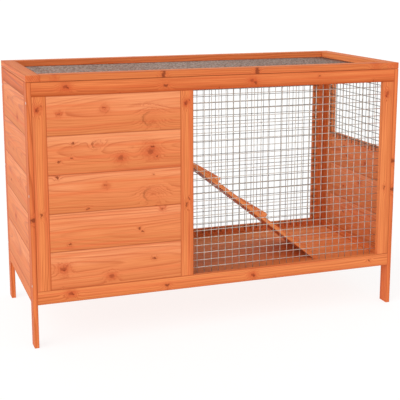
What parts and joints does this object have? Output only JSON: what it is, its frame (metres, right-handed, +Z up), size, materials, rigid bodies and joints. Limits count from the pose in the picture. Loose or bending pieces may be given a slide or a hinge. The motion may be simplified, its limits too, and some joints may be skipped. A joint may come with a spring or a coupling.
{
  "type": "rabbit hutch",
  "caption": "Two-level softwood rabbit hutch on legs with plank nest, welded-mesh run, hinged mesh lid, inner ramp and back door.",
  "frame": {"origin": "on the ground at the middle of the footprint", "axes": "+X along the hutch from the closed nest to the mesh run, -Y out of the long front wall, +Z up"},
  "size_m": [1.0212, 0.4384, 0.69],
  "materials": {
    "frame_timber": "planed fir, orange-red stain",
    "wall_planks": "planed fir planks, orange-red stain",
    "inner_boards": "planed fir, orange-red stain",
    "turned_wood": "planed fir, orange-red stain",
    "welded_wire": "galvanised welded wire",
    "zinc_hinges": "zinc-plated pressed steel",
    "zinc_screws": "zinc-plated"
  },
  "bodies": {
    "frame": {"back_bottom_rail": "frame_timber", "back_left_stile": "frame_timber", "back_mesh": "welded_wire", "back_middle_stile": "frame_timber", "back_right_stile": "frame_timber", "back_top_rail": "frame_timber", "deck_bearers": "inner_boards", "deck_panel": "inner_boards", "door_hinge_frame_leaves": "zinc_hinges", "floor_panel": "inner_boards", "front_bottom_rail": "frame_timber", "front_left_stile": "frame_timber", "front_mesh": "welded_wire", "front_middle_stile": "frame_timber", "front_plank_1": "wall_planks", "front_plank_2": "wall_planks", "front_plank_3": "wall_planks", "front_plank_4": "wall_planks", "front_plank_5": "wall_planks", "front_right_stile": "frame_timber", "front_top_rail": "frame_timber", "left_bottom_rail": "frame_timber", "left_plank_1": "wall_planks", "left_plank_2": "wall_planks", "left_plank_3": "wall_planks", "left_plank_4": "wall_planks", "left_plank_5": "wall_planks", "left_top_rail": "frame_timber", "leg_back_left": "frame_timber", "leg_back_right": "frame_timber", "leg_front_left": "frame_timber", "leg_front_right": "frame_timber", "lid_hinge_wall_leaves": "zinc_hinges", "ramp_hinge_deck_leaves": "zinc_hinges", "right_back_stile": "frame_timber", "right_bottom_rail": "frame_timber", "right_front_stile": "frame_timber", "right_mesh": "welded_wire", "right_plank_1": "wall_planks", "right_plank_2": "wall_planks", "right_plank_3": "wall_planks", "right_top_rail": "frame_timber", "wood_screws": "zinc_screws"},
    "lid": {"lid_back_rail": "frame_timber", "lid_front_rail": "frame_timber", "lid_hinge_lid_leaves": "zinc_hinges", "lid_left_rail": "frame_timber", "lid_mesh": "welded_wire", "lid_right_rail": "frame_timber"},
    "nest_door": {"door_hinge_door_leaves": "zinc_hinges", "door_ledges": "frame_timber", "door_plank_1": "wall_planks", "door_plank_2": "wall_planks", "door_plank_3": "wall_planks", "door_plank_4": "wall_planks", "door_plank_5": "wall_planks"},
    "turn_button": {"turn_button": "turned_wood"},
    "ramp": {"ramp_board": "inner_boards", "ramp_cleats": "inner_boards", "ramp_hinge_ramp_leaves": "zinc_hinges"}
  },
  "joints": [
    {"name": "lid_hinge", "type": "hinge", "parent": "frame", "child": "lid", "pos_m": [0, 0.218, 0.67325], "axis": [-1, 0, 0], "range_deg": [0, 100]},
    {"name": "nest_door_hinge", "type": "hinge", "parent": "frame", "child": "nest_door", "pos_m": [-0.462, 0.218, 0.393], "axis": [0, 0, 1], "range_deg": [0, 110]},
    {"name": "turn_button_pivot", "type": "hinge", "parent": "frame", "child": "turn_button", "pos_m": [-0.1035, 0.2189, 0.393], "axis": [0, 1, 0], "range_deg": [0, 90]},
    {"name": "ramp_hinge", "type": "hinge", "parent": "frame", "child": "ramp", "pos_m": [-0.08495, -0.03, 0.458], "axis": [0, -1, 0], "range_deg": [0, 55]}
  ]
}
